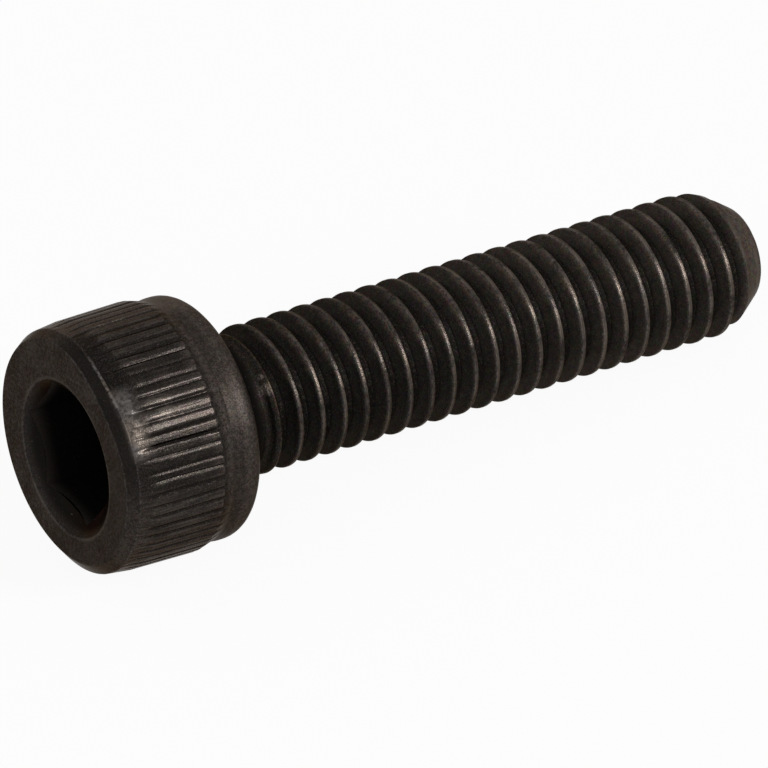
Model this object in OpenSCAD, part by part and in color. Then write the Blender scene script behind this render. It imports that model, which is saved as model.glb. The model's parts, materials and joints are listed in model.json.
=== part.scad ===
// Hex socket cap screw, M6 x 1 x 25: a forged head with a straight knurl and
// a hex socket, and a right-hand thread rolled over the whole shank.
// It is built about its own axis, with the bearing face at zero, the shank up
// and the head down, and is then laid on its side, as it comes to rest.

/* [Thread] */
// Diameter over the thread crests
thread_d = 5.84; // [5.7:0.01:6]
// Distance along the axis from one crest to the next
pitch = 1; // [0.8:0.05:1.2]
// Depth of the thread groove
thread_depth = 0.53; // [0.4:0.01:0.6]
// Width of the land left on each crest
crest_w = 0.14; // [0.08:0.01:0.2]
// Width of the floor of the groove
root_w = 0.2; // [0.12:0.01:0.28]
// Turn of the thread about the axis, in degrees
thread_turn = 315; // [0:1:359]

/* [Shank] */
// Length of the shank under the head
shank_len = 25; // [12:1:60]
// Diameter of the short plain neck under the head
neck_d = 5.24; // [5:0.01:5.4]
// Length of the plain neck
neck_len = 1.3; // [0.8:0.1:2]
// Length over which the thread rises out of the neck
run_in = 0.7; // [0.4:0.1:1.5]
// Radius of the fillet under the head
fillet_r = 0.4; // [0.25:0.05:0.6]
// Length of the tapered tip
tip_len = 1.85; // [1:0.05:2.5]
// Length of the gentle start of the tip's taper
tip_lead_len = 0.65; // [0.3:0.05:0.9]
// How much the diameter falls over that start
tip_lead_drop = 0.5; // [0.2:0.01:0.7]
// Diameter of the flat on the end of the tip
tip_flat_d = 3.7; // [3.2:0.01:4.4]

/* [Head] */
// Height of the head
head_h = 6; // [5:0.1:8]
// Diameter over the knurl at its widest, beside the rim
knurl_d = 10; // [9.6:0.01:10.2]
// How much the radius falls along the knurl
knurl_taper = 0.05; // [0:0.01:0.15]
// Number of knurl ridges round the head
knurl_count = 64; // [40:1:80]
// Depth of the knurl grooves
knurl_depth = 0.14; // [0.08:0.01:0.2]
// Share of each ridge that is worn flat
knurl_land = 0.4; // [0.3:0.05:0.6]
// Length of the rounded edge between the knurl and the bevel
knurl_edge_len = 0.9; // [0.5:0.1:1.4]
// How much the radius falls over that edge
knurl_edge_drop = 0.1; // [0.05:0.01:0.2]
// Width of the bevel round the face
bevel = 0.38; // [0.2:0.01:0.6]
// Height of the plain band and rim at the bearing end
rim_h = 1.95; // [1.7:0.05:2.4]
// Diameter of the plain rim
rim_d = 9.69; // [9.4:0.01:9.8]
// Radius of the rim's outer edge
rim_edge_r = 0.6; // [0.3:0.05:0.7]
// Diameter of the shallow groove between knurl and rim
groove_d = 9.64; // [9.3:0.01:9.66]
// Width of that groove's floor
groove_w = 0.3; // [0.1:0.05:0.4]
// Length of the slope from the knurl down to the groove
knurl_end_len = 0.65; // [0.4:0.05:0.8]
// Length of the slope from the groove up to the rim
rim_rise_len = 0.2; // [0.1:0.05:0.3]

/* [Socket] */
// Size of the hex socket across its flats
socket_af = 5.05; // [4.8:0.01:5.2]
// Depth of the socket's straight walls from the face
socket_depth = 3.1; // [2.5:0.1:3.6]
// Diameter of the countersink at the socket's mouth
countersink_d = 6.5; // [6.1:0.05:7]
// Full angle of the cone at the bottom of the socket
socket_floor_angle = 140; // [118:1:160]
// Diameter of the small flat at the bottom of that cone
socket_floor_flat_d = 0.5; // [0.2:0.1:1.5]
// Turn of one socket flat away from straight up, in degrees
socket_turn = 3; // [0:1:59]

/* [Hidden] */

thread_r = thread_d / 2;
root_r = thread_r - thread_depth;
neck_r = neck_d / 2;
tip_flat_r = tip_flat_d / 2;
tip_start = shank_len - tip_len;
thread_start = neck_len + run_in;

knurl_r = knurl_d / 2;
knurl_edge_r = knurl_r - knurl_taper;
knurl_face_r = knurl_edge_r - knurl_edge_drop;
rim_r = rim_d / 2;
groove_r = groove_d / 2;
rim_face_r = rim_r - rim_edge_r;
face_r = knurl_face_r - bevel;
countersink_r = countersink_d / 2;
socket_flat_r = socket_af / 2;
socket_corner_r = socket_flat_r / cos(30);

// Facets round the thread, sides of the smooth round forms, steps of an arc
thread_sides = 40;
round_sides = 96;
arc_steps = 8;

// Depth that the shank reaches into the head, so that they are one solid
root_in_head = 0.6;
// Depth that the fillet under the head runs into the neck
fillet_in_neck = 0.1;
// Distance that each cut reaches past the surface that it opens
over = 0.5;
// Turns of thread made past each end of the shank, before it is cut to length
spare_turns = 2;

// Tilt at which the knurl and the last full crest touch one flat surface
rest_tilt = atan((knurl_r - thread_r) / (tip_start + rim_h));
rest_lift = knurl_r * cos(rest_tilt) - rim_h * sin(rest_tilt);
// Middle of the laid screw's length, from its head face to its tip
low_x = -face_r * sin(rest_tilt) - head_h * cos(rest_tilt);
high_x = tip_flat_r * sin(rest_tilt) + shank_len * cos(rest_tilt);
rest_mid_x = (low_x + high_x) / 2;

// A point at radius r and angle a
function polar(r, a) = [r * cos(a), r * sin(a)];

// Points of an arc from angle a to angle b about a centre
function arc(cx, cy, r, a, b) =
    [for (i = [0 : arc_steps]) let (t = a + (b - a) * i / arc_steps) [cx + r * cos(t), cy + r * sin(t)]];

// Radius of the thread crest at height z: neck, run-in, full thread, tip
function crest_at(z) = lookup(z, [
    [neck_len, neck_r],
    [thread_start, thread_r],
    [tip_start, thread_r],
    [tip_start + tip_lead_len, thread_r - tip_lead_drop / 2],
    [shank_len, tip_flat_r]]);

// Radius of the groove floor at height z, never above the crest
function root_at(z) = min(crest_at(z), lookup(z, [[neck_len, neck_r], [thread_start, root_r]]));

// The four corners of one turn's profile: how far each lies past the middle
// of the crest, and whether it is on the crest
thread_corners = [
    [-crest_w / 2, true],
    [crest_w / 2, true],
    [(pitch - root_w) / 2, false],
    [(pitch + root_w) / 2, false]];

// The threaded shank. Its corners follow the helix, so each crest and each
// flank is a clean strip, and the strips are held at the two flat ends.
module threaded_shank() {
    per_turn = len(thread_corners);
    bottom = -root_in_head;
    first_turn = floor(bottom / pitch) - spare_turns;
    turns = ceil(shank_len / pitch) + spare_turns - first_turn;
    rows = turns * per_turn;
    function corner(i) = thread_corners[i % per_turn];
    function height(i, j) = (first_turn + floor(i / per_turn) + (j / thread_sides)) * pitch + corner(i)[0];
    function point(i, j) =
        let (z = min(max(height(i, j), bottom), shank_len),
             r = corner(i)[1] ? crest_at(z) : root_at(z))
        concat(polar(r, 360 * j / thread_sides), z);
    points = [for (i = [0 : rows - 1]) for (j = [0 : thread_sides - 1]) point(i, j)];
    function index(i, j) =
        j == thread_sides ? min(i + per_turn, rows - 1) * thread_sides : i * thread_sides + j;
    function apart(a, b) = points[a] != points[b];
    function solid_face(f) = apart(f[0], f[1]) && apart(f[1], f[2]) && apart(f[2], f[0]);
    sides = [for (i = [0 : rows - 2]) for (j = [0 : thread_sides - 1])
        let (a = index(i, j), b = index(i, j + 1), c = index(i + 1, j + 1), d = index(i + 1, j))
        each [[a, c, b], [a, d, c]]];
    ends = [
        [for (j = [0 : thread_sides - 1]) index(0, j)],
        [for (j = [thread_sides - 1 : -1 : 0]) index(rows - 1, j)]];
    rotate([0, 0, thread_turn])
        polyhedron(points, concat([for (f = sides) if (solid_face(f)) f], ends), convexity = 12);
}

// Outline of the head: face, bevel, knurl, groove, rim and the neck fillet
module head_outline() {
    knurl_start = -head_h + bevel;
    groove_start = -rim_h + knurl_end_len;
    groove_end = groove_start + groove_w;
    polygon(concat(
        [[0, -head_h], [face_r, -head_h], [knurl_face_r, knurl_start]],
        [[knurl_edge_r, knurl_start + knurl_edge_len], [knurl_r, -rim_h]],
        [[groove_r, groove_start], [groove_r, groove_end], [rim_r, groove_end + rim_rise_len]],
        arc(rim_face_r, -rim_edge_r, rim_edge_r, 0, 90),
        arc(neck_r - fillet_in_neck + fillet_r, fillet_r, fillet_r, 270, 180),
        [[0, fillet_r]]));
}

// One V groove of the knurl. It leans in with the knurl's taper, and its two
// flanks go on past the ridges, so that the ridges keep the head's round form.
module knurl_groove() {
    knurl_len = head_h - rim_h;
    half_w = knurl_r * tan(180 / knurl_count * (1 - knurl_land));
    rise = knurl_depth / 4;
    wide = half_w * (knurl_depth + rise) / knurl_depth;
    lean = atan((knurl_taper + knurl_edge_drop / 2) / knurl_len);
    translate([knurl_r, 0, -rim_h])
        rotate([0, 180 + lean, 0])
            translate([0, 0, -knurl_end_len])
                linear_extrude(knurl_len + knurl_end_len + over)
                    polygon([[knurl_depth, 0], [-rise, wide], [-rise, -wide]]);
}

module knurl_grooves() {
    step = 360 / knurl_count;
    for (i = [0 : knurl_count - 1])
        rotate([0, 0, (i + 0.5) * step])
            knurl_groove();
}

// Room for the hex key, closed by a shallow cone with a small flat
module socket_hex() {
    wide_r = socket_corner_r + over;
    slope = 1 / tan(socket_floor_angle / 2);
    floor_flat_r = socket_floor_flat_d / 2;
    floor_z = socket_depth + (socket_corner_r - floor_flat_r) * slope;
    intersection() {
        translate([0, 0, -over])
            rotate([0, 0, 30 + socket_turn])
                cylinder(r = socket_corner_r, h = floor_z + 2 * over, $fn = 6);
        rotate_extrude($fn = round_sides)
            polygon([[0, -2 * over], [wide_r, -2 * over], [wide_r, socket_depth - over * slope],
                     [floor_flat_r, floor_z], [0, floor_z]]);
    }
}

// Hex socket with its mouth countersunk at 45 degrees
module socket() {
    mouth_r = countersink_r + over;
    inside_r = socket_flat_r / 2;
    translate([0, 0, -head_h]) {
        socket_hex();
        translate([0, 0, -over])
            cylinder(r1 = mouth_r, r2 = inside_r, h = mouth_r - inside_r, $fn = round_sides);
    }
}

module head() {
    difference() {
        rotate_extrude($fn = round_sides) head_outline();
        knurl_grooves();
        socket();
    }
}

module cap_screw() {
    color([0.16, 0.15, 0.14])
        translate([-rest_mid_x, 0, rest_lift])
            rotate([0, 90 + rest_tilt, 0])
                union() {
                    head();
                    threaded_shank();
                }
}

cap_screw();
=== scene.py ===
import json
import math
import random

import bmesh
import bpy
from mathutils import Matrix, Vector


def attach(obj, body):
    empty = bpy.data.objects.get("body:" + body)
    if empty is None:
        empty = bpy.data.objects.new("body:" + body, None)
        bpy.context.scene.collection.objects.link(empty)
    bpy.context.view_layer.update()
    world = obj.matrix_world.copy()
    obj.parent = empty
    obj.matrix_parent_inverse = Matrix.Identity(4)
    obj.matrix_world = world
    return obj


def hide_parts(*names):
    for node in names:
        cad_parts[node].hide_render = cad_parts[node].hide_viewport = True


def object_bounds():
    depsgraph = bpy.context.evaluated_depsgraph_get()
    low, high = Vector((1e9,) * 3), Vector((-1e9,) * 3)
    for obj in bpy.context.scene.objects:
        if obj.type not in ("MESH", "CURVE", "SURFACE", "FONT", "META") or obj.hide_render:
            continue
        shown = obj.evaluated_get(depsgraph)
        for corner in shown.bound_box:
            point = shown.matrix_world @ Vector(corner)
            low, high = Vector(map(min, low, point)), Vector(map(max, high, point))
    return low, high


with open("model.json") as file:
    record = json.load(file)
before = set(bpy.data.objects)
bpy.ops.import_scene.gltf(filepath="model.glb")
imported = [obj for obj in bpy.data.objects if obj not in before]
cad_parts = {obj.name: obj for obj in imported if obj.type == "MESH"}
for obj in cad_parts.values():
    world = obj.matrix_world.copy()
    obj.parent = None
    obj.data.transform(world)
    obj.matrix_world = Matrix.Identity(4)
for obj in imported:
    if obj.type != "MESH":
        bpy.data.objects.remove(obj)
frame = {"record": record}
cad_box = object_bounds()

# The camera
# A long lens looks down at the laid screw from the front left, so that the
# face of the head, its knurl and the whole thread show at once.
MM = 0.001
scene = bpy.context.scene
scene.view_settings.view_transform = "Standard"

picture_px = 768
focal_px = 10952
sensor_mm = 36
view_azimuth = math.radians(-32.5237)
view_elevation = math.radians(36.5793)
view_distance = 420.284 * MM
view_aim = Vector((-2.9859, -3.2453, 5.7521)) * MM

view_back = Vector((
    math.sin(view_azimuth) * math.cos(view_elevation),
    -math.cos(view_azimuth) * math.cos(view_elevation),
    math.sin(view_elevation)))
bpy.ops.object.camera_add(
    location=view_aim + view_back * view_distance,
    rotation=(math.pi / 2 - view_elevation, 0, view_azimuth))
camera = bpy.context.object
camera.name = "camera"
camera.data.sensor_width = sensor_mm
camera.data.lens = focal_px / picture_px * sensor_mm
scene.camera = camera


# The floor and the surroundings
# A sheet of white card under the screw and white walls all round it. Lens and
# metal both see them as plain white, and the card keeps the screw's shadow.
class Shade:
    """A shader socket that sums and products can be written with."""

    def __init__(self, tree, socket=None):
        self.tree = tree
        self.socket = socket

    def make(self, kind, settings=None, values=None, output=0):
        """Add one node: its settings first, then its sockets' values or links."""
        node = self.tree.nodes.new(kind)
        for name, value in (settings or {}).items():
            setattr(node, name, value)
        for name, value in (values or {}).items():
            socket = self.find(node.inputs, name)
            if isinstance(value, Shade):
                self.tree.links.new(value.socket, socket)
            else:
                socket.default_value = value
        return Shade(self.tree, self.find(node.outputs, output))

    @staticmethod
    def find(sockets, name):
        if isinstance(name, int):
            return sockets[name]
        for socket in sockets:
            if socket.identifier == name:
                return socket
        return sockets[name]

    def maths(self, operation, *values):
        return self.make("ShaderNodeMath", {"operation": operation}, dict(enumerate(values)))

    def __add__(self, other):
        return self.maths("ADD", self, other)

    __radd__ = __add__

    def __sub__(self, other):
        return self.maths("SUBTRACT", self, other)

    def __rsub__(self, other):
        return self.maths("SUBTRACT", other, self)

    def __mul__(self, other):
        return self.maths("MULTIPLY", self, other)

    __rmul__ = __mul__

    def __truediv__(self, other):
        return self.maths("DIVIDE", self, other)

    def __pow__(self, other):
        return self.maths("POWER", self, other)

    def __abs__(self):
        return self.maths("ABSOLUTE", self)


def seen_directly(tree):
    """One for what the lens, metal or glass sees, and zero for what lights the screw."""
    start = Shade(tree)
    camera_ray, glossy_ray, clear_ray = [
        start.make("ShaderNodeLightPath", output=name)
        for name in ("Is Camera Ray", "Is Glossy Ray", "Is Transmission Ray")]
    seen = camera_ray + glossy_ray + clear_ray
    return seen.maths("MINIMUM", seen, 1)


def empty_tree(owner):
    """Give a material or a world its own nodes, with none in them yet."""
    owner.use_nodes = True
    owner.node_tree.nodes.clear()
    return owner.node_tree


def show(surface, kind="ShaderNodeOutputMaterial"):
    """Link a finished surface to the output of its own nodes."""
    out = surface.tree.nodes.new(kind)
    surface.tree.links.new(surface.socket, out.inputs["Surface"])


def deselect():
    bpy.ops.object.select_all(action="DESELECT")


room_light = 0.45
card_size = 4.0
card_white = (0.85, 0.85, 0.85, 1)
card_glow = 0.93

room = bpy.data.worlds.new("white_room")
scene.world = room
room_seen = seen_directly(empty_tree(room))
room_glow = room_seen.make("ShaderNodeBackground", values={
    "Color": (1, 1, 1, 1), "Strength": room_light + (1 - room_light) * room_seen})
show(room_glow, "ShaderNodeOutputWorld")

deselect()
bpy.ops.mesh.primitive_plane_add(size=card_size, location=(0, 0, cad_box[0][2]))
card = bpy.context.object
card.name = "white_card"
card_finish = bpy.data.materials.new("white_card")
card_seen = seen_directly(empty_tree(card_finish))
card_matt = card_seen.make("ShaderNodeBsdfDiffuse", values={"Color": card_white})
card_light = card_seen.make("ShaderNodeEmission", values={"Color": (1, 1, 1, 1), "Strength": 1})
card_mix = card_seen.make("ShaderNodeMixShader", values={
    0: card_glow * card_seen, 1: card_matt, 2: card_light})
show(card_mix)
card.data.materials.append(card_finish)


# The lamps
# One soft box stands to the right of the lens and lights the near side of the
# knurl and the thread crests, and a wide weak one fills the head from the left.
def soft_box(name, toward, distance, width, height, power):
    """A lit panel that faces the middle of the screw."""
    direction = Vector(toward).normalized()
    bpy.ops.object.light_add(type="AREA", location=direction * distance)
    lamp = bpy.context.object
    lamp.name = name
    lamp.rotation_euler = direction.to_track_quat("Z", "Y").to_euler()
    lamp.data.shape = "RECTANGLE"
    lamp.data.size = width
    lamp.data.size_y = height
    lamp.data.energy = power


soft_box("key_lamp", toward=(0.44, -0.70, 0.54), distance=0.6, width=0.15, height=0.15, power=1.75)
soft_box("fill_lamp", toward=(-0.8, -0.5, 0.6), distance=0.8, width=0.6, height=0.5, power=1.5)


# The shank and its thread
# A round steel rod whose right-hand thread is rolled in by dies, which press
# the roots down and push the crests up until two small lips meet on each.
thread_r = 2.92
root_r = 2.39
neck_r = 2.62
pitch = 1.0
shank_len = 25.0
neck_len = 1.3
thread_start = 2.0
tip_start = 23.15
tip_lead_len = 0.65
tip_lead_r = 2.67
tip_lead_rounding = 0.8
tip_edge_r = 1.85
tip_rounding = 0.45
tip_flat_r = 1.3
thread_turn = 45
crest_rise = thread_turn / 360 * pitch
thread_steps = 128
spare_turns = 2
merge_within = 0.0002 * MM
cut_at_neck = 0.95

crest_half = 0.07
lip_half = 0.05
lip_round = [(0.09, 0.012), (0.125, 0.05)]
flank_start = 0.155
flank_round = 0.01
flank_stops = [0.25, 0.34]
root_half = 0.1
root_round = [(0.40, 0.012)]
lip_drop = 0.02
seam_drop = 0.006


def edit(piece):
    """Open one piece for editing, with nothing on it selected."""
    deselect()
    piece.select_set(True)
    bpy.context.view_layer.objects.active = piece
    bpy.ops.object.mode_set(mode="EDIT")
    bpy.ops.mesh.select_mode(type="VERT")
    bpy.ops.mesh.select_all(action="DESELECT")


def close_edit():
    bpy.ops.object.mode_set(mode="OBJECT")


def draw_line(name, points):
    """Draw a line through points (radius, height) in millimetres, by extruding one vertex."""
    deselect()
    bpy.ops.mesh.primitive_plane_add(size=MM)
    line = bpy.context.object
    line.name = name
    edit(line)
    bpy.ops.mesh.select_all(action="SELECT")
    bpy.ops.mesh.merge(type="CENTER")
    bpy.ops.transform.translate(value=(points[0][0] * MM, 0, points[0][1] * MM))
    for (r0, z0), (r1, z1) in zip(points, points[1:]):
        bpy.ops.mesh.extrude_region_move(
            TRANSFORM_OT_translate={"value": ((r1 - r0) * MM, 0, (z1 - z0) * MM)})
    close_edit()
    return line


def apply_modifier(piece, kind, **settings):
    deselect()
    piece.select_set(True)
    bpy.context.view_layer.objects.active = piece
    modifier = piece.modifiers.new(kind.lower(), kind)
    for name, value in settings.items():
        setattr(modifier, name, value)
    bpy.ops.object.modifier_apply(modifier=modifier.name)


def flank_at(offset):
    """Radius of a flank at a distance from the middle of the crest."""
    share = (offset - crest_half) / (pitch / 2 - root_half - crest_half)
    return thread_r - lip_drop - (thread_r - lip_drop - root_r) * share


# Half a crest from its seam outwards: the lip, its rounded shoulder, the flank and the rounded root
half_profile = [(lip_half, thread_r)]
half_profile += [(offset, thread_r - drop) for offset, drop in lip_round]
half_profile += [(flank_start + flank_round, flank_at(flank_start))]
half_profile += [(offset, flank_at(offset)) for offset in flank_stops]
half_profile += [(offset, root_r + lift) for offset, lift in root_round]
profile = [(-offset, r) for offset, r in reversed(half_profile)] + [(0, thread_r - seam_drop)] + half_profile
profile = [(-pitch / 2, root_r)] + profile + [(pitch / 2, root_r)]

first_crest = crest_rise - spare_turns * pitch
turns = round(shank_len / pitch) + 2 * spare_turns
shank = draw_line("finished_screw", [(r, first_crest + offset) for offset, r in profile])
apply_modifier(shank, "SCREW", axis="Z", angle=2 * math.pi, screw_offset=pitch * MM,
               steps=thread_steps, render_steps=thread_steps, iterations=turns, use_smooth_shade=True)


def rounded(corners):
    """Round each corner (radius, height, rounding, steps) of an outline with an arc."""
    points = [corners[0][:2]]
    for before, corner, after in zip(corners, corners[1:], corners[2:]):
        here = Vector(corner[:2])
        rounding, steps = corner[2:]
        if not rounding:
            points.append(tuple(here))
            continue
        back = (Vector(before[:2]) - here).normalized()
        ahead = (Vector(after[:2]) - here).normalized()
        half = back.angle(ahead) / 2
        reach = rounding / math.tan(half)
        middle = here + (back + ahead).normalized() * rounding / math.sin(half)
        start = here + back * reach - middle
        turn = start.angle_signed(here + ahead * reach - middle)
        for i in range(steps + 1):
            points.append(tuple(middle + Matrix.Rotation(-turn * i / steps, 2) @ start))
    return points + [corners[-1][:2]]


def steps_between(z, stops):
    """Value at height z, read along straight lines between stops (height, value)."""
    if z <= stops[0][0]:
        return stops[0][1]
    for (z0, v0), (z1, v1) in zip(stops, stops[1:]):
        if z <= z1:
            return v0 + (v1 - v0) * (z - z0) / (z1 - z0)
    return stops[-1][1]


tip_corners = [
    (thread_r, tip_start, 0, 0),
    (tip_lead_r, tip_start + tip_lead_len, tip_lead_rounding, 4),
    (tip_edge_r, shank_len, tip_rounding, 6),
    (tip_flat_r, shank_len, 0, 0)]
tip_line = [(z, r) for r, z in rounded(tip_corners)]
crest_line = [(neck_len, neck_r), (thread_start, thread_r)]
crest_line += [stop for stop in tip_line if stop[1] > tip_flat_r]
root_line = [(neck_len, neck_r), (thread_start, root_r)]

# The whole helix is a full thread, and is drawn in to the neck and the tip
for vertex in shank.data.vertices:
    x, y, z = vertex.co / MM
    r = math.hypot(x, y)
    crest = steps_between(z, crest_line)
    root = steps_between(z, root_line)
    height = (r - root_r) / (thread_r - root_r)
    risen = root + (steps_between(z, crest_line[:2]) - root) * height
    new_r = min(risen, crest)
    vertex.co.x *= new_r / r
    vertex.co.y *= new_r / r

edit(shank)
bpy.ops.mesh.select_all(action="SELECT")
bpy.ops.mesh.remove_doubles(threshold=merge_within)
bpy.ops.mesh.bisect(
    plane_co=(0, 0, shank_len * MM), plane_no=(0, 0, 1),
    use_fill=True, clear_outer=True, threshold=merge_within)
bpy.ops.mesh.select_all(action="SELECT")
bpy.ops.mesh.bisect(
    plane_co=(0, 0, cut_at_neck * MM), plane_no=(0, 0, 1), clear_inner=True, threshold=merge_within)
close_edit()


# The head
# A forged steel cylinder with a straight knurl pressed round its side, a plain
# rim turned at the bearing end and a narrow bevel at the face.
def side(degrees):
    """Angle about the axis of a side that lies so many degrees from straight up, toward the lens."""
    return math.radians(degrees - 180)


head_h = 6.0
knurl_r = 4.999
knurl_edge_r = 4.95
knurl_face_r = 4.85
knurl_edge_z = -4.72
bevel = 0.38
face_r = 4.5
face_still_r = 3.5
face_swell = 0.09
face_swell_toward = side(310)
face_stretch = 0.06
edge_worn = 0.12
edge_worn_toward = side(22)
edge_worn_half = math.radians(24)
edge_worn_len = 0.5
edge_worn_rise = 0.3
face_worn = 0.4
face_worn_toward = side(33)
face_worn_half = math.radians(30)
countersink_r = 3.17
countersink_slope = 0.7
countersink_shift = 0.2
countersink_toward = side(163)
countersink_still_r = 4.1
countersink_fade = 0.8
rim_h = 1.95
rim_r = 4.845
rim_edge_r = 0.6
groove_r = 4.82
groove_z = -1.3
groove_w = 0.3
rim_rise_len = 0.2
fillet_r = 0.35
head_end = 0.6
disc_r = 1.2
longest_step = 0.24

knurl_count = 64
head_steps = knurl_count * 8


def divided(points, longest):
    """Add points along an outline, so that no straight is longer than a length."""
    out = [points[0]]
    for (r0, z0), (r1, z1) in zip(points, points[1:]):
        parts = max(1, math.ceil(math.hypot(r1 - r0, z1 - z0) / longest - 1e-6))
        out += [(r0 + (r1 - r0) * i / parts, z0 + (z1 - z0) * i / parts) for i in range(1, parts + 1)]
    return out


head_corners = [
    (disc_r, -head_h + (countersink_r - disc_r) * countersink_slope, 0, 0),
    (countersink_r, -head_h, 0.06, 3),
    (face_r, -head_h, 0.08, 3),
    (knurl_face_r, -head_h + bevel, 0.12, 3),
    (knurl_edge_r, knurl_edge_z, 0, 0),
    (knurl_r, -rim_h, 0.35, 4),
    (groove_r, groove_z, 0.15, 2),
    (groove_r, groove_z + groove_w, 0.1, 2),
    (rim_r, groove_z + groove_w + rim_rise_len, 0.1, 2),
    (rim_r, 0, rim_edge_r, 8),
    (neck_r, 0, fillet_r, 5),
    (neck_r, head_end, 0, 0)]
head = draw_line("head", divided(rounded(head_corners), longest_step))
edit(head)
bpy.ops.mesh.select_all(action="SELECT")
bpy.ops.mesh.spin(steps=head_steps, angle=2 * math.pi, center=(0, 0, 0), axis=(0, 0, 1))
bpy.ops.mesh.select_all(action="SELECT")
bpy.ops.mesh.remove_doubles(threshold=merge_within)
close_edit()

face_end = -head_h + bevel
face_top = face_end + 0.05
centre_r = 0.5


def within(*shares):
    """The least of some shares, kept between zero and one."""
    return max(0.0, min(1.0, *shares))


def turned_from(turn, toward):
    """How far an angle lies from another, at most half a turn either way."""
    return (turn - toward + math.pi) % (2 * math.pi) - math.pi


def face_move(x, y, z):
    """Move a point of the face end: the bevel is cut deeper on one side, the countersink is off centre."""
    r = math.hypot(x, y)
    turn = math.atan2(y, x)
    if z > face_top or r < centre_r:
        return x, y
    outer = within((r - face_still_r) / (face_r - face_still_r), (knurl_face_r - r) / (knurl_face_r - face_r))
    cut = face_worn * math.exp(-(turned_from(turn, face_worn_toward) / face_worn_half) ** 2)
    cut += face_stretch * math.cos(2 * turn) - face_swell * math.cos(turn - face_swell_toward)
    scale = (r - cut * outer) / r
    inner = countersink_shift * within((countersink_still_r - r) / countersink_fade)
    return x * scale + inner * math.cos(countersink_toward), y * scale + inner * math.sin(countersink_toward)


def edge_wear(r, turn, z):
    """How far the round edge between bevel and knurl is beaten in on one side."""
    reach = within((knurl_edge_z - z) / edge_worn_len, (r - face_r) / edge_worn_rise)
    return edge_worn * math.exp(-(turned_from(turn, edge_worn_toward) / edge_worn_half) ** 2) * reach


# Every groove of a worn knurl has its own depth, width, place and slight wander.
# The columns of the mesh crowd into the grooves, which leaves the lands flat.
knurl_floor_r = 4.86
knurl_lean = math.tan(math.radians(1.41))
knurl_half = 0.25
knurl_crowding = 1.4
knurl_in_r = face_r + 0.1
knurl_fade = 0.3
knurl_start_z = face_end - 0.05
knurl_start_len = 0.8
run_out_z = -2.2
run_out_len = 0.7
run_out_widening = 1.3
wander_rate = 1.3

chance = random.Random(7)
grooves = [{
    "depth": chance.uniform(0.2, 0.55),
    "half": knurl_half * chance.uniform(0.65, 1.3),
    "shift": chance.uniform(-0.12, 0.12),
    "wander": chance.uniform(-0.05, 0.05),
    "phase": chance.uniform(0, 2 * math.pi)} for _ in range(knurl_count)]


def knurl_move(x, y, z):
    """Move a point of the knurl into the worn form of its own groove."""
    r = math.hypot(x, y)
    place = math.atan2(y, x) / (2 * math.pi) * knurl_count - 0.5
    index = round(place)
    groove = grooves[index % knurl_count]
    offset = place - index
    crowded = math.copysign(0.5 * (2 * abs(offset)) ** knurl_crowding, offset)
    drift = groove["shift"] + groove["wander"] * math.sin(z * wander_rate + groove["phase"])
    moved = crowded + drift * (1 - 2 * abs(crowded))
    fading = within((z - face_end) / knurl_fade, (groove_z - z) / knurl_fade)
    turn = (index + 0.5 + offset + (moved - offset) * fading) / knurl_count * 2 * math.pi
    running_out = within((z - run_out_z) / run_out_len)
    half = groove["half"] * (1 + run_out_widening * running_out ** 2)
    valley = 0.5 + 0.5 * math.cos(math.pi * min(1.0, abs(crowded) / half))
    floor = knurl_floor_r + knurl_lean * (z + rim_h)
    starting = within((z - knurl_start_z) / knurl_start_len)
    sunk = max(0.0, r - floor) * groove["depth"] * starting * valley + edge_wear(r, turn, z)
    return (r - sunk) * math.cos(turn), (r - sunk) * math.sin(turn)


for vertex in head.data.vertices:
    x, y, z = vertex.co / MM
    if z <= groove_z and math.hypot(x, y) >= knurl_in_r:
        x, y = knurl_move(x, y, z)
    x, y = face_move(x, y, z)
    vertex.co.x = x * MM
    vertex.co.y = y * MM


# The finished blank
# Head and shank are one forging, so the two meshes are joined into one closed
# skin at the neck. A hex punch then leaves the socket with its cone floor.
socket_flat_r = 2.525
socket_depth = 3.1
socket_corner_toward = side(213)
floor_angle = math.radians(70)
floor_flat_r = 0.25
bore_steps = 96
over = 0.6


def select_open_edges():
    bpy.ops.mesh.select_non_manifold(
        extend=False, use_wire=False, use_multi_face=False, use_non_contiguous=False, use_verts=False)


deselect()
head.select_set(True)
shank.select_set(True)
bpy.context.view_layer.objects.active = shank
bpy.ops.object.join()
screw = bpy.context.object

edit(screw)
select_open_edges()
close_edit()
for vertex in screw.data.vertices:
    vertex.select = vertex.select and vertex.co.z > 0
for edge in screw.data.edges:
    edge.select = edge.select and all(screw.data.vertices[i].select for i in edge.vertices)
bpy.ops.object.mode_set(mode="EDIT")
bpy.ops.mesh.select_mode(type="EDGE")
bpy.ops.mesh.bridge_edge_loops()
bpy.ops.mesh.select_all(action="DESELECT")
select_open_edges()
bpy.ops.mesh.edge_face_add()
bpy.ops.mesh.select_all(action="SELECT")
bpy.ops.mesh.normals_make_consistent(inside=False)
close_edit()

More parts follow.
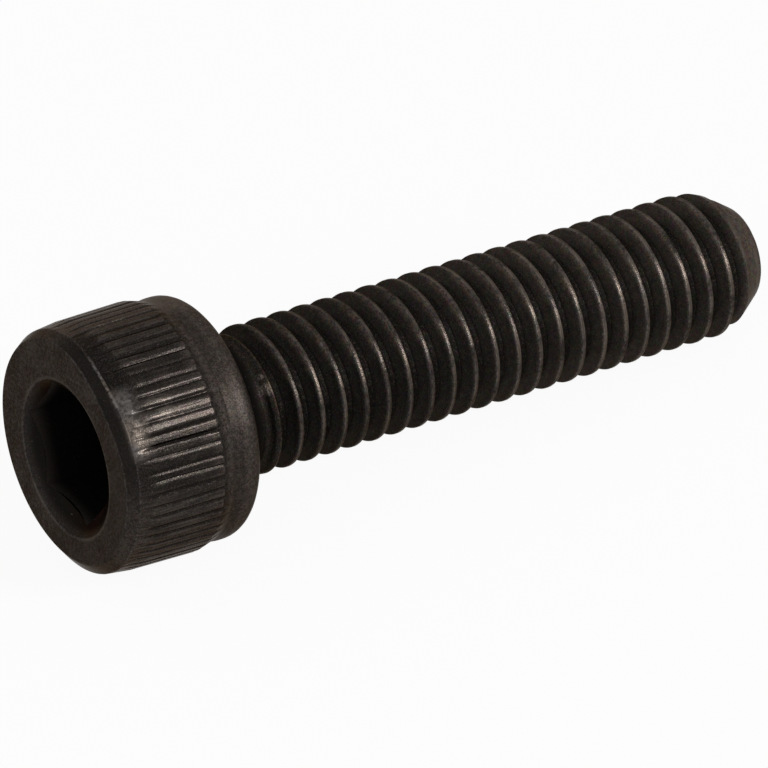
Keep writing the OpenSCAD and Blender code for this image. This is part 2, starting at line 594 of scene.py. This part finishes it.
corner_r = socket_flat_r / math.cos(math.radians(30))
floor_depth = socket_depth + (corner_r - floor_flat_r) / math.tan(floor_angle)
deselect()
bpy.ops.mesh.primitive_cylinder_add(
    vertices=6, radius=corner_r * MM, depth=(floor_depth + 2 * over) * MM,
    location=(0, 0, (-head_h + floor_depth / 2) * MM),
    rotation=(0, 0, socket_corner_toward - math.pi / 2))
punch = bpy.context.object
wide_r = corner_r + over
bore = draw_line("bore", [
    (0, -head_h - 3 * over), (wide_r, -head_h - 3 * over),
    (wide_r, -head_h + socket_depth - over / math.tan(floor_angle)),
    (floor_flat_r, -head_h + floor_depth), (0, -head_h + floor_depth)])
edit(bore)
bpy.ops.mesh.select_all(action="SELECT")
bpy.ops.mesh.spin(steps=bore_steps, angle=2 * math.pi, center=(0, 0, 0), axis=(0, 0, 1))
bpy.ops.mesh.select_all(action="SELECT")
bpy.ops.mesh.remove_doubles(threshold=merge_within)
bpy.ops.mesh.normals_make_consistent(inside=False)
close_edit()
apply_modifier(punch, "BOOLEAN", operation="INTERSECT", solver="EXACT", object=bore)
apply_modifier(screw, "BOOLEAN", operation="DIFFERENCE", solver="EXACT", object=punch)
for tool in (punch, bore):
    bpy.data.objects.remove(tool)

# The laid pose
# The screw lies on its knurl and its last full crest, as it comes to rest. The
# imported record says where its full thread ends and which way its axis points.
smooth_below = math.radians(38)
mounts = {mount["name"]: mount for mount in frame["record"]["mounts"]}
axis = Vector(mounts["thread"]["axis"]).normalized()
bearing = Vector(mounts["thread"]["pos_m"]) - axis * tip_start * MM
lean = math.atan2(-axis.z, axis.x)
screw.rotation_euler = (0, math.pi / 2 + lean, 0)
screw.location = bearing
deselect()
screw.select_set(True)
bpy.context.view_layer.objects.active = screw
bpy.ops.object.transform_apply(location=True, rotation=True, scale=True)
bpy.ops.object.shade_smooth_by_angle(angle=smooth_below)

# Every outward bend of the skin is worn brighter, so each vertex keeps how sharply it bends
skin = bmesh.new()
skin.from_mesh(screw.data)
skin.normal_update()
bends = []
for vertex in skin.verts:
    area = sum(face.calc_area() / len(face.verts) for face in vertex.link_faces)
    bend = sum(edge.calc_length() * edge.calc_face_angle_signed(0) for edge in vertex.link_edges)
    bends.append(bend / (4 * area) * MM if area else 0.0)
skin.free()
screw.data.attributes.new("bend", "FLOAT", "POINT").data.foreach_set("value", bends)

# The finish
# Hardened steel blackened in a hot salt bath and oiled: a thin brown-black skin
# that is rubbed through to grey metal on the ridges, crests and edges. Painted light
# and shade for the lamps are laid into its colour as well.
finish = bpy.data.materials.new("black_oxide_steel")
steel = Shade(empty_tree(finish))

metal_share = 0.95
sheen_level = 0.1
sheen_tint = (0.48, 0.45, 0.425)
relief_depth = 0.012
relief_strength = 0.6


def opaque(colour):
    """A written colour with its fourth value added, or a worked-out one as it is."""
    return colour if isinstance(colour, Shade) else (*colour, 1)


def rise(value, low, high):
    """Zero below low, one above high, and smooth between; the other way round if high is the lower."""
    if high < low:
        return 1 - rise(value, high, low)
    return value.make("ShaderNodeMapRange", {"interpolation_type": "SMOOTHSTEP"},
                      {"Value": value, "From Min": low, "From Max": high})


def noise(place, scale, detail=3.0, roughness=0.55, output="Fac"):
    """Clouds between zero and one, about so many of them to a millimetre."""
    return place.make("ShaderNodeTexNoise", {"noise_dimensions": "3D"},
                      {"Vector": place, "Scale": scale, "Detail": detail, "Roughness": roughness}, output)


def blend(share, first, second, how="MIX"):
    """Lay a share of the second colour over the first."""
    return steel.make(
        "ShaderNodeMix", {"data_type": "RGBA", "clamp_factor": True, "blend_type": how},
        {"Factor_Float": share, "A_Color": opaque(first), "B_Color": opaque(second)}, "Result_Color")


def coated(colour, coats):
    """Lay coats over a colour in turn, each with its share and its own colour."""
    for share, coat in coats:
        colour = blend(share, colour, coat)
    return colour


# Places on the screw in its own millimetres, as if it stood on its head
place = steel.make("ShaderNodeTexCoord", output="Object")
place = steel.make("ShaderNodeMapping", {"vector_type": "TEXTURE"}, {
    "Vector": place, "Location": bearing, "Rotation": (0, math.pi / 2 + lean, 0), "Scale": (MM, MM, MM)})
across, beside, along = [
    place.make("ShaderNodeSeparateXYZ", values={0: place}, output=name) for name in "XYZ"]
radius = (across * across + beside * beside) ** 0.5
turned = across.maths("ARCTAN2", beside, across) / (2 * math.pi)
from_face = along + head_h
from_rim = along + rim_h

bend = steel.make(
    "ShaderNodeAttribute", {"attribute_type": "GEOMETRY", "attribute_name": "bend"}, output="Fac")
mottle = noise(place, 0.9)
tint = noise(place, 0.45, 2.0)
grain = noise(place, 7.0, 4.0, 0.6)
speck = noise(place, 14.0, 2.0, 0.5)
fine = noise(place, 18.0, 2.0, 0.6)
drawn = place.make("ShaderNodeVectorMath", {"operation": "MULTIPLY"}, {0: place, 1: (1, 1, 0.08)})
streak = noise(drawn, 9.0, 3.0, 0.6)
smudge = noise(place, 1.7, 3.0)
oil = noise(place, 3.2, 2.0)


def facing(toward):
    """One on the side of the screw that an angle points at, minus one opposite."""
    return (across * math.cos(toward) + beside * math.sin(toward)) / radius


def spot(height, out, toward, size):
    """A ragged spot of a size, at a height along the screw and out from its middle."""
    middle = (out * math.cos(toward), out * math.sin(toward), height)
    away = place.make("ShaderNodeVectorMath", {"operation": "DISTANCE"}, {0: place, 1: middle}, "Value")
    return rise(away + (grain - 0.5) * size, size, size * 0.4)


# Sides of the screw, by where the key lamp falls; the coats below paint light and shade with them
near_side = rise(facing(side(50)), 0.7, 0.96)
shaded = 1 - near_side
painted_light_top = rise(facing(side(-30)), 0.85, 0.98)
lit_side = rise(facing(side(46)), 0.94, 0.985)
beaten_side = facing(edge_worn_toward)
bevel_painted_shade_side = rise(facing(face_worn_toward), 0.5, 0.85)
painted_shade_glancing = rise(facing(side(48)), 0.76, 0.9) * rise(facing(side(48)), 0.99, 0.95)

# Parts of the head
worn_slope = 0.018
worn_edge_slope = 0.11
on_thread = rise(along, neck_len - 0.4, neck_len + 0.2)
on_head = 1 - on_thread
on_face = on_head * rise(from_face, 0.1, 0.03)
on_bevel = on_head * rise(from_face, bevel + 0.02, bevel - 0.02) * rise(from_face, 0.015, 0.04)
on_bevel = on_bevel * rise(radius, 3.9, 4.0)
on_knurl = on_head * rise(from_rim, 0.45, 0.05) * rise(from_face, 0.25, 0.5)
on_rim = on_head * rise(from_rim, 0.25, 0.65)
rim_groove = on_rim * rise(abs(along - groove_z - groove_w / 2), 0.35, 0.15)
worn_r = knurl_r + from_rim * worn_slope - along.maths("MAXIMUM", knurl_edge_z - along, 0) * worn_edge_slope
in_groove = rise(worn_r - radius, 0.0, 0.022)
edge = rise(bend + (grain - 0.5) * 1.2, 0.9, 3.0) * on_head
ridge = on_knurl * rise(bend, -0.5, 0.6)
bevel_edge_wear_and_painted_glint = on_head * rise(abs(from_face - bevel - 0.01), 0.06, 0.02) * rise(radius, face_r - 0.1, face_r)

# Parts of the socket, measured from the middle of its countersink
countersink_x = countersink_shift * math.cos(countersink_toward)
countersink_y = countersink_shift * math.sin(countersink_toward)
mouth = ((across - countersink_x) ** 2 + (beside - countersink_y) ** 2) ** 0.5
lip = on_head * rise(abs(mouth - countersink_r - 0.03), 0.09, 0.03) * rise(from_face, 0.15, 0.07)
sunk = (0.45 * rise(from_face, 0.005, 0.04) + 0.55 * rise(from_face, 0.03, 0.35)) * on_head
sunk = sunk * rise(radius, 3.6, 3.45)
in_socket = rise(from_face, 0.08, 0.38) * rise(radius, 3.4, 3.2) * on_head
past_cone = from_face - (countersink_r - mouth) * countersink_slope
on_wall = on_head * rise(past_cone, 0.002, 0.015) * rise(radius, 3.1, 2.95)

# Parts of the thread, measured from the middle of the nearest crest
on_tip = rise(along, tip_start + 0.15, tip_start + 1.05)
past_crest = along - crest_rise - turned
past_crest = past_crest.maths("FRACT", past_crest + 0.5) - 0.5
from_crest = abs(past_crest)
crest_w = 0.09 + 0.035 * rise(along, 6, 18) + (fine - 0.5) * 0.09 + (grain - 0.5) * 0.05
# The crest band is painted wider where the key lamp lights it and narrower on the shaded sides: painted
# highlight
crest_w = crest_w + (0.025 - 0.05 * shaded) * rise(past_crest, 0, 0.05)
crest = rise(along, 1.8, 3.0) * rise(from_crest - crest_w, 0, -0.08) * rise(radius, 2.5, 2.8)
seam = rise(abs(past_crest - 0.015), 0.04, 0.01) * rise(grain, 0.4, 0.55) + rise(past_crest, 0.05, 0.09)
under_head = rise(along, -0.1, 0.2) * (1 - rise(along, 1.5, 2.6))
on_flank = rise(along, 1.2, 2.0) * rise(from_crest + (grain - 0.5) * 0.1, 0.07, 0.15) * (1 - on_tip)
near_flank = on_flank * rise(past_crest, 0.1, 0)
upper_flank_painted_light = near_flank * rise(facing(side(0)), 0.6, 0.9)
near_lip_painted_light = on_flank * rise(past_crest, -0.24, -0.1) * rise(past_crest, 0.05, 0)
near_lip_painted_light = near_lip_painted_light * rise(facing(side(20)), 0.84, 0.97)
far_flank = on_flank * rise(past_crest, 0.04, 0.09) * rise(past_crest, 0.5, 0.42)
deep = rise(from_crest + (mottle - 0.5) * 0.2, 0.12, 0.42)
# A brown band just past each crest, broken up by grain
brown_past_crest = on_thread * rise(past_crest, 0.02, 0.06) * rise(past_crest, 0.24, 0.12)
brown_past_crest = brown_past_crest * rise(grain + mottle * 0.5, 0.55, 0.95)

# Where the skin is rubbed through to the metal: crests, edges, ridges, specks, the
# beaten corner of the head, the mouth of the socket, single nicks and the tip's end.
# Some of it is painted highlight: extra bare metal where the key lamp's glint falls
# on the crests, the knurl's face end, one knurl spot and the beaten bevel edge
# More bare crest on the near side by the head is painted highlight
crest_rubbed_and_painted_highlight = 0.70 + 0.12 * rise(along, 8, 16) + 0.25 * near_side * rise(along, 9, 5) - 0.3 * seam
# The knurl's face end bare on the side the key lamp lights: wear, and painted highlight
corner_rubbed_and_painted_highlight = 0.35 + 0.55 * rise(grain + mottle * 0.3, 0.5, 0.72)
neck_nicks = spot(1.70, 2.74, side(47), 0.32) + spot(1.62, 2.72, side(36), 0.16)
crest_nicks = spot(4.51, 2.9, side(26), 0.16) + spot(20.0, 2.9, side(54), 0.12)
crest_nicks = crest_nicks + spot(11.3, 2.92, side(18), 0.12)
# A bare spot on the knurl where the key lamp's glint falls: painted highlight
knurl_painted_highlight = on_knurl * spot(-4.1, 4.97, side(43), 0.75)
tip_end = rise(abs(along - shank_len + 0.4), 0.2, 0.05) * rise(facing(side(80)), 0.7, 0.95)
bare = sum([
    crest * rise(grain * 0.7 + mottle, 0.62, 1.05) * crest_rubbed_and_painted_highlight,
    edge * rise(grain + mottle, 0.8, 1.2) * 0.1,
    ridge * (1 - in_groove) * rise(streak + mottle * 0.4, 0.62, 0.95) * 0.1,
    rise(speck, 0.70, 0.77) * (1 - on_face) * 0.6,
    on_knurl * lit_side * rise(from_face, 1.4, 0.7) * corner_rubbed_and_painted_highlight,
    lip * rise(grain + mottle, 0.6, 1.1) * 0.2,
    neck_nicks * rise(fine, 0.3, 0.6) * 0.9,
    crest_nicks * 0.9,
    knurl_painted_highlight * rise(streak, 0.42, 0.6) * 0.4,
    # The bevel edge bare on its beaten side: wear, and a painted glint
    bevel_edge_wear_and_painted_glint * rise(beaten_side, 0.955, 0.985) * rise(grain, 0.3, 0.6) * 0.8,
    bevel_edge_wear_and_painted_glint * rise(fine, 0.5, 0.65) * 0.2,
    tip_end * rise(grain, 0.3, 0.5) * 0.6])
bare = bare.maths("MINIMUM", bare, 1)

# The oxide all over, then what lies over it in turn, each with its share and its colour
oxide = blend(rise(mottle, 0.35, 0.65), (0.0225, 0.0186, 0.0160), (0.0300, 0.0246, 0.0212))
oxide = coated(oxide, [
    (rise(tint, 0.45, 0.65) * 0.5, (0.0200, 0.0205, 0.0215)),
    (rise(grain, 0.35, 0.65) * 0.35, (0.0450, 0.0380, 0.0335))])

# Knurl and rim: light streaks, stronger on the shaded side as painted light; painted light
# on the tops of knurl and rim; painted shade on and beside the lamp's side of the knurl; a
# light run-out; grooves dark with oxide and painted shade; a painted shadow by the beaten corner
# The rim's grain, with painted light on its top and a little on its shaded side
rim_grain_and_painted_light = 0.05 + 0.35 * rise(grain, 0.38, 0.62) + 0.6 * painted_light_top + 0.08 * shaded
knurl_run_out = on_head * rise(abs(from_rim - 0.2), 0.35, 0.1) * rise(grain, 0.35, 0.6)
beaten_shadow = on_knurl * rise(from_face, 1.3, 0.7) * rise(beaten_side, 0.88, 0.97)
oxide = coated(oxide, [
    (on_knurl * rise(streak, 0.42, 0.62) * (0.25 + 0.25 * shaded), (0.0640, 0.0540, 0.0475)),
    (on_rim * rim_grain_and_painted_light, (0.0880, 0.0730, 0.0630)),
    # Painted light on the top of the knurl
    (on_knurl * painted_light_top * 0.4, (0.0880, 0.0730, 0.0630)),
    # Painted shade on the key lamp's side of the knurl, dimming its highlight
    (on_knurl * near_side * rise(from_rim, -0.15, -0.65) * 0.45, (0.0130, 0.0114, 0.0103)),
    # Painted shade either side of the key lamp's highlight on the knurl
    (on_knurl * painted_shade_glancing * rise(from_rim, -0.05, -0.55) * 0.6, (0.0075, 0.0066, 0.0060)),
    (knurl_run_out * 0.5, (0.0900, 0.0760, 0.0670)),
    # Dark groove floors: unworn oxide, and painted shade over the glint on the groove sides
    (on_knurl * in_groove * 0.8, (0.0090, 0.0078, 0.0070)),
    (beaten_shadow * 0.6, (0.0060, 0.0054, 0.0050))])

# Face and bevel: a grey mottle with dark smudges and light grain, a face darker toward one
# side, painted shade on two sides of the bevel and light grain on the rest of it
face_grey = blend(rise(grain + mottle * 0.5, 0.55, 0.95), (0.0178, 0.0152, 0.0136), (0.0455, 0.0418, 0.0388))
oxide = coated(oxide, [
    (on_face * 0.8, face_grey),
    (on_face * rise(smudge, 0.5, 0.62) * 0.3, (0.0120, 0.0112, 0.0108)),
    (on_face * rise(grain, 0.55, 0.75) * 0.25, (0.0800, 0.0700, 0.0620)),
    # Painted shade darkens the bevel on two sides
    (on_bevel * bevel_painted_shade_side * 0.85, (0.0075, 0.0066, 0.0060)),
    (on_bevel * rise(facing(side(75)), 0.8, 0.97) * 0.55, (0.0120, 0.0105, 0.0095)),
    (on_face * rise(facing(side(130)), 0.2, 0.8) * 0.3, (0.0140, 0.0125, 0.0112)),
    (on_bevel * (1 - bevel_painted_shade_side) * rise(grain, 0.35, 0.6) * 0.4, (0.0480, 0.0410, 0.0360))])

# Neck and thread: painted shade under the head, on the far flanks and in the roots; brown
# flanks with painted light toward the root, darker toward the head, lighter further along;
# painted light on the upper flanks and beside the lips; a brown band past each crest; oil
# The flanks' brown is painted lighter deep toward the root, against the shade there
flank_brown_painted_light = blend(deep, (0.0185, 0.0166, 0.0143), (0.0370, 0.0330, 0.0285))
oxide = coated(oxide, [
    # Painted shade under the head
    (under_head * 0.88, (0.0056, 0.0046, 0.0038)),
    (on_flank * 0.95, flank_brown_painted_light),
    # Painted light on the upper flanks
    (upper_flank_painted_light * rise(past_crest, -0.4, -0.2) * 0.6, (0.0330, 0.0275, 0.0235)),
    (on_flank * rise(along, 12, 3) * 0.45, (0.0070, 0.0068, 0.0062)),
    (near_flank * rise(along, 10, 16) * rise(past_crest, -0.42, -0.2) * 0.35, (0.0580, 0.0470, 0.0395)),
    # Painted light beside the lips
    (near_lip_painted_light * (0.5 + 0.5 * rise(grain, 0.4, 0.6)), (0.0900, 0.0690, 0.0550)),
    # Painted shade on the far flanks
    (far_flank * 0.85, (0.0110, 0.0082, 0.0064)),
    # Painted shade in the roots
    (on_flank * rise(from_crest, 0.32, 0.44) * 0.9, (0.0034, 0.0027, 0.0022)),
    (brown_past_crest * 0.7, (0.0620, 0.0430, 0.0310)),
    (on_thread * rise(oil, 0.45, 0.6) * 0.3, (0.0150, 0.0160, 0.0135))])

# Rim groove in painted shade except at its top, the light tip, the fine grain over everything,
# and last the socket in painted shade, its walls painted lighter toward the mouth
# The socket walls: painted light at the mouth, painted shade deeper in
wall_painted_shade = blend(rise(from_face, 0.15, 1.1), (0.0420, 0.0360, 0.0320), (0.0060, 0.0052, 0.0048))
oxide = coated(oxide, [
    # Painted shade in the rim groove, left off its top
    (rim_groove * (0.4 - 0.4 * painted_light_top), (0.0100, 0.0086, 0.0078)),
    (on_tip * (0.5 + 0.45 * rise(grain, 0.4, 0.6)), (0.0950, 0.0800, 0.0700)),
    (rise(fine, 0.56, 0.36) * 0.5, (0.0080, 0.0072, 0.0068)),
    (rise(fine, 0.50, 0.72) * (0.35 - 0.25 * on_bevel * bevel_painted_shade_side), (0.0750, 0.0640, 0.0570)),
    # Painted shade in the countersink and the socket
    (sunk, (0.0075, 0.0065, 0.0057)),
    (in_socket, (0.0062, 0.0054, 0.0048)),
    (on_wall, wall_painted_shade)])

# Oil and oxide shimmer in faint colours, more so on the thread
shades = noise(place, 4.5, 3.0, 0.7, "Color")
shades = shades.make("ShaderNodeVectorMath", {"operation": "SUBTRACT"}, {0: shades, 1: (0.5, 0.5, 0.5)})
shades = shades.make("ShaderNodeVectorMath", {"operation": "MULTIPLY_ADD"}, {
    0: shades, 1: 0.25 + 0.45 * on_thread, 2: (0.532, 0.520, 0.515)})
oxide = blend(1.0, oxide, shades, "OVERLAY")

metal = blend(rise(tint + (mottle - 0.5) * 0.5, 0.4, 0.6), (0.1030, 0.0950, 0.0910), (0.1180, 0.0980, 0.0830))
metal = blend(on_thread * seam, metal, (0.1000, 0.0740, 0.0560))
colour = blend(bare, oxide, metal)

roughness = 0.31 + 0.4 * on_wall + 0.15 * on_rim - 0.03 * on_knurl + 0.07 * on_face
roughness = roughness + (grain - 0.5) * 0.2 + on_thread * (0.1 - 0.1 * crest + 0.2 * on_flank)
relief = grain * 0.7 + speck * 0.4 + fine * (0.3 + 0.6 * crest)
relief = relief + grain * crest * 0.9 + on_knurl * streak * 1.2
bump = steel.make("ShaderNodeBump", values={
    "Strength": relief_strength, "Distance": relief_depth * MM, "Height": relief}, output="Normal")
surface = steel.make("ShaderNodeBsdfPrincipled", values={
    "Base Color": colour, "Metallic": metal_share, "Roughness": roughness, "Normal": bump,
    "Specular IOR Level": sheen_level, "Specular Tint": opaque(sheen_tint)})
show(surface)

screw.data.materials.clear()
screw.data.materials.append(finish)
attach(screw, "root")
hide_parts("cap_screw")
